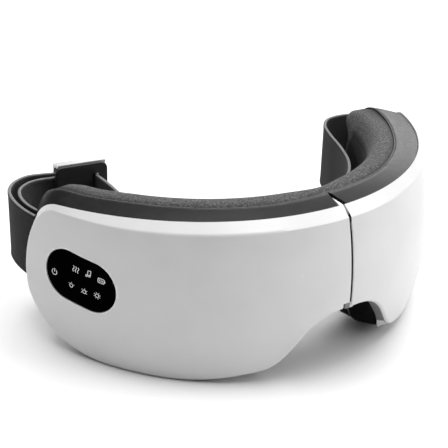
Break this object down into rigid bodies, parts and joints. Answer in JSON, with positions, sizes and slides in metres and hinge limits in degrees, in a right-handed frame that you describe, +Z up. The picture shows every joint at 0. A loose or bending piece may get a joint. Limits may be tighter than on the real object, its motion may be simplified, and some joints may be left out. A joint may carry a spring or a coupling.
{
  "type": "eye massager mask",
  "caption": "Folding wrap-round eye massager: two white curved halves hinged at the nose bridge, dark padded lining, glossy touch key, elastic head strap with slider buckle.",
  "frame": {"origin": "middle of the footprint, on the floor the mask stands on", "axes": "+X from the wearer's right temple (control panel half) towards the left temple, -Y the way the mask faces, +Z up"},
  "size_m": [0.1966, 0.1231, 0.0737],
  "materials": {
    "shell_white": "satin white moulded plastic, faint pearl",
    "panel_black": "high gloss black window with white printed icons",
    "dark_plastic": "matte black moulded plastic",
    "soft_leather": "charcoal leather-look cover over foam, fine grain",
    "suede_cloth": "dark grey brushed cloth over foam",
    "elastic_webbing": "woven dark grey elastic webbing with paler selvedges",
    "circuit_board": "green solder mask",
    "silicone_rubber": "translucent milky silicone",
    "amber_film": "amber film",
    "cell_foil": "crimped foil pouch",
    "bare_steel": "plain drawn steel"
  },
  "bodies": {
    "left_half": {"left_front_shell": "shell_white", "left_rear_frame": "dark_plastic", "left_cushion": "soft_leather", "left_face_pad": "suede_cloth", "left_hinge_leaf": "bare_steel", "left_airbag": "silicone_rubber", "left_heating_pad": "amber_film", "left_speaker": "dark_plastic", "left_vibration_motor": "bare_steel", "left_strap_anchor": "dark_plastic", "left_housing_screw_1": "bare_steel", "left_housing_screw_2": "bare_steel", "left_housing_screw_3": "bare_steel", "left_hinge_screw_1": "bare_steel", "left_hinge_screw_2": "bare_steel", "hinge_pin": "bare_steel", "key_switch": "dark_plastic", "key_board": "circuit_board", "main_board": "circuit_board", "pump_motor": "bare_steel", "pump_head": "dark_plastic", "air_valve": "bare_steel", "flex_cable": "amber_film", "air_hose": "silicone_rubber", "strap_outer_loop": "elastic_webbing", "strap_inner_loop": "elastic_webbing", "strap_exit": "elastic_webbing", "strap_run_left": "elastic_webbing"},
    "right_half": {"right_front_shell": "shell_white", "right_rear_frame": "dark_plastic", "right_cushion": "soft_leather", "right_face_pad": "suede_cloth", "right_hinge_leaf": "bare_steel", "right_airbag": "silicone_rubber", "right_heating_pad": "amber_film", "right_speaker": "dark_plastic", "right_vibration_motor": "bare_steel", "right_strap_anchor": "dark_plastic", "right_housing_screw_1": "bare_steel", "right_housing_screw_2": "bare_steel", "right_housing_screw_3": "bare_steel", "right_hinge_screw_1": "bare_steel", "right_hinge_screw_2": "bare_steel", "battery": "cell_foil", "charging_port": "bare_steel", "charging_board": "circuit_board", "strap_run_right": "elastic_webbing"},
    "control_key": {"control_panel": "panel_black", "key_plunger": "silicone_rubber"},
    "strap_slider": {"slider_base": "dark_plastic", "slider_cover": "shell_white"},
    "left_spinner": {"left_motor_weight": "bare_steel"},
    "right_spinner": {"right_motor_weight": "bare_steel"}
  },
  "joints": [
    {"name": "fold", "type": "hinge", "parent": "left_half", "child": "right_half", "pos_m": [0, -0.0411, 0.051], "axis": [0, 0, 1], "range_deg": [0, 60], "deforming": ["flex_cable", "air_hose", "strap_run_left", "strap_run_right"]},
    {"name": "control_key_press", "type": "slide", "parent": "left_half", "child": "control_key", "axis": [0.9083, 0.4183, 0], "range_m": [0, 0.0003], "stiffness_N_per_m": 1500},
    {"name": "strap_slider_slide", "type": "slide", "parent": "left_half", "child": "strap_slider", "axis": [0.9801, -0.1987, 0], "range_m": [-0.01, 0.006], "deforming": ["strap_outer_loop", "strap_inner_loop", "strap_exit"]},
    {"name": "left_weight_spin", "type": "hinge", "parent": "left_half", "child": "left_spinner", "pos_m": [-0.04443, -0.03946, 0.0615], "axis": [0.8464, -0.5325, 0], "continuous": true},
    {"name": "right_weight_spin", "type": "hinge", "parent": "right_half", "child": "right_spinner", "pos_m": [0.04443, -0.03946, 0.0615], "axis": [0.8464, 0.5325, 0], "continuous": true}
  ]
}
